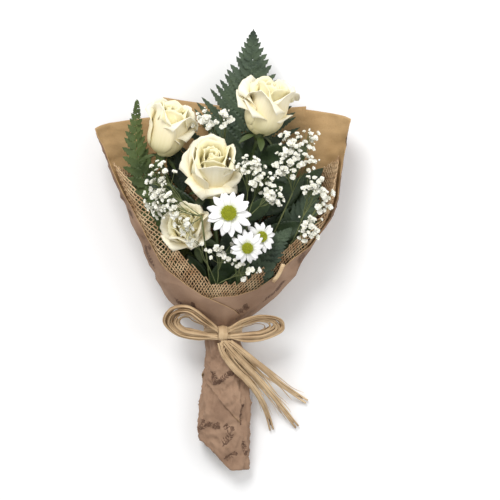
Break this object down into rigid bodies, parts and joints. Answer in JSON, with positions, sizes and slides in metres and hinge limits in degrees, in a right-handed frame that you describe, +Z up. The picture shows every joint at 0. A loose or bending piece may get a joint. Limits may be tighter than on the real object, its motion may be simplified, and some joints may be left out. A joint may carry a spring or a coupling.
{
  "type": "wrapped rose bouquet",
  "caption": "Hand-tied bunch of white roses, daisies, baby's breath and fern in printed kraft paper with a jute mesh lining and a raffia bow, lying on its back.",
  "frame": {"origin": "on the resting surface, under the middle of the whole bunch", "axes": "+Y from the paper handle towards the flower heads, +X across the bunch to the right as seen from the front, +Z up, away from the surface that the bunch lies on"},
  "size_m": [0.2568, 0.4482, 0.1176],
  "materials": {
    "kraft_paper": "matte",
    "jute": "matte",
    "raffia": "satin",
    "rose_petal": "matte",
    "rose_heart": "matte",
    "green_stem": "satin",
    "rose_leaf": "satin",
    "daisy_ray": "matte",
    "daisy_disc": "matte",
    "babys_breath": "matte",
    "fern": "matte"
  },
  "bodies": {
    "root": {"kraft_sheet_left": "kraft_paper", "kraft_sheet_right": "kraft_paper", "jute_mesh": "jute", "stem_tie": "raffia", "raffia_band": "raffia", "raffia_knot": "raffia", "raffia_loop_left": "raffia", "raffia_loop_right": "raffia", "raffia_tail_1": "raffia", "raffia_tail_2": "raffia", "raffia_tail_3": "raffia", "rose_upper_left_heart": "rose_heart", "rose_upper_left_petal_1": "rose_petal", "rose_upper_left_petal_2": "rose_petal", "rose_upper_left_petal_3": "rose_petal", "rose_upper_left_petal_4": "rose_petal", "rose_upper_left_stem": "green_stem", "rose_upper_right_heart": "rose_heart", "rose_upper_right_petal_1": "rose_petal", "rose_upper_right_petal_2": "rose_petal", "rose_upper_right_petal_3": "rose_petal", "rose_upper_right_petal_4": "rose_petal", "rose_upper_right_stem": "green_stem", "rose_centre_heart": "rose_heart", "rose_centre_petal_1": "rose_petal", "rose_centre_petal_2": "rose_petal", "rose_centre_petal_3": "rose_petal", "rose_centre_petal_4": "rose_petal", "rose_centre_stem": "green_stem", "rose_lower_left_heart": "rose_heart", "rose_lower_left_petal_1": "rose_petal", "rose_lower_left_petal_2": "rose_petal", "rose_lower_left_petal_3": "rose_petal", "rose_lower_left_petal_4": "rose_petal", "rose_lower_left_stem": "green_stem", "rose_leaf_upper": "rose_leaf", "rose_leaf_middle": "rose_leaf", "rose_leaf_centre": "rose_leaf", "daisy_upper_rays": "daisy_ray", "daisy_upper_disc": "daisy_disc", "daisy_lower_rays": "daisy_ray", "daisy_lower_disc": "daisy_disc", "daisy_side_rays": "daisy_ray", "daisy_side_disc": "daisy_disc", "daisy_spray_stem": "green_stem", "babys_breath_left": "babys_breath", "babys_breath_top": "babys_breath", "babys_breath_upper_right": "babys_breath", "babys_breath_middle": "babys_breath", "babys_breath_right": "babys_breath", "babys_breath_lower": "babys_breath", "fern_frond_top": "fern", "fern_frond_left": "fern", "fern_frond_right": "fern", "fern_frond_lower": "fern"}
  },
  "joints": []
}
